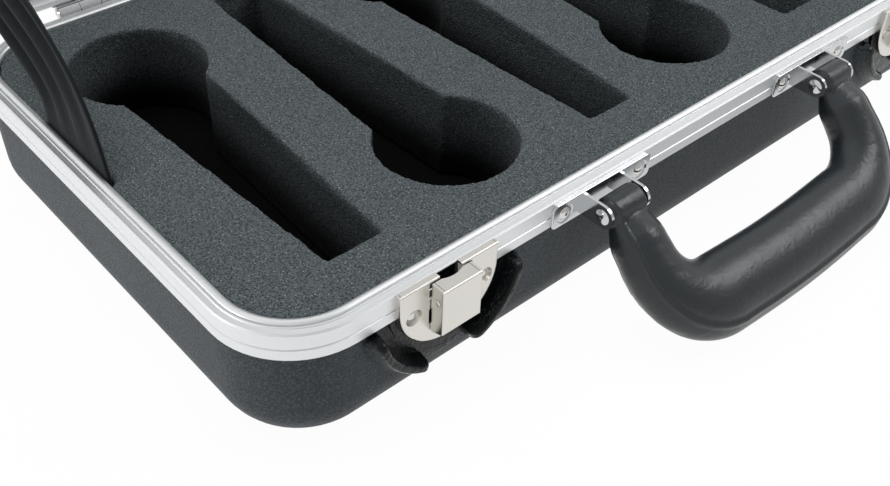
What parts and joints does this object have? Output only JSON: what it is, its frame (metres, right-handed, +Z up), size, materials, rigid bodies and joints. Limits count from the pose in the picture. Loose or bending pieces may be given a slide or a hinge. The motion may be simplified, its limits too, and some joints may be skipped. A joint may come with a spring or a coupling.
{
  "type": "microphone case",
  "caption": "Hard carrying case for microphones: moulded base and hinged lid, aluminium rims, lever latches, swing handle and cut foam.",
  "frame": {"origin": "centre of the flat resting face under the base", "axes": "+X along the case to the right seen from the handle side, +Y towards the hinges, +Z up"},
  "size_m": [0.4218, 0.3774, 0.2802],
  "materials": {
    "moulded_plastic": "pebbled moulded plastic",
    "rim_aluminium": "satin extruded aluminium",
    "foam": "cut open-cell foam",
    "latch_steel": "nickel-plated pressed steel",
    "bracket_steel": "nickel-plated pressed steel",
    "rivet_steel": "plated steel",
    "spring_steel": "hard-drawn spring wire",
    "grip_rubber": "soft moulded grip",
    "core_steel": "plain steel strip",
    "stay_webbing": "woven fabric band"
  },
  "bodies": {
    "base": {"base_shell": "moulded_plastic", "base_rim": "rim_aluminium", "foam_floor": "foam", "foam_insert": "foam", "latch_plate_left": "latch_steel", "latch_plate_right": "latch_steel", "latch_rivets": "rivet_steel", "rivet_washers_base": "rivet_steel", "latch_pins": "rivet_steel", "latch_spring_left": "spring_steel", "latch_spring_right": "spring_steel", "handle_bracket_left": "bracket_steel", "handle_bracket_right": "bracket_steel", "bracket_rivets": "rivet_steel", "handle_pins": "bracket_steel", "hinge_leaf_base_left": "bracket_steel", "hinge_leaf_base_right": "bracket_steel", "hinge_pins": "rivet_steel", "hinge_rivets_base": "rivet_steel", "lid_stay_left": "stay_webbing", "lid_stay_right": "stay_webbing"},
    "lid": {"lid_shell": "moulded_plastic", "lid_rim": "rim_aluminium", "lid_foam": "foam", "strike_left": "latch_steel", "strike_right": "latch_steel", "strike_rivets": "rivet_steel", "rivet_washers_lid": "rivet_steel", "hinge_leaf_lid_left": "bracket_steel", "hinge_leaf_lid_right": "bracket_steel", "hinge_rivets_lid": "rivet_steel"},
    "handle": {"handle_grip": "grip_rubber", "handle_core": "core_steel"},
    "lever_left": {"latch_lever_left": "latch_steel"},
    "lever_right": {"latch_lever_right": "latch_steel"}
  },
  "joints": [
    {"name": "lid_hinge", "type": "hinge", "parent": "base", "child": "lid", "pos_m": [0, 0.1136, 0.05815], "axis": [1, 0, 0], "range_deg": [0, 105], "deforming": ["lid_stay_left", "lid_stay_right"]},
    {"name": "handle_swing", "type": "hinge", "parent": "base", "child": "handle", "pos_m": [0, -0.1207, 0.0499], "axis": [1, 0, 0], "range_deg": [-129, 39]},
    {"name": "latch_left", "type": "hinge", "parent": "base", "child": "lever_left", "pos_m": [-0.1412, -0.116, 0.0506], "axis": [-1, 0, 0], "range_deg": [0, 17], "stiffness_Nm_per_rad": 0.02, "springref_deg": -17.19, "deforming": ["latch_spring_left"]},
    {"name": "latch_right", "type": "hinge", "parent": "base", "child": "lever_right", "pos_m": [0.1412, -0.116, 0.0506], "axis": [-1, 0, 0], "range_deg": [0, 17], "stiffness_Nm_per_rad": 0.02, "springref_deg": -17.19, "deforming": ["latch_spring_right"]}
  ]
}
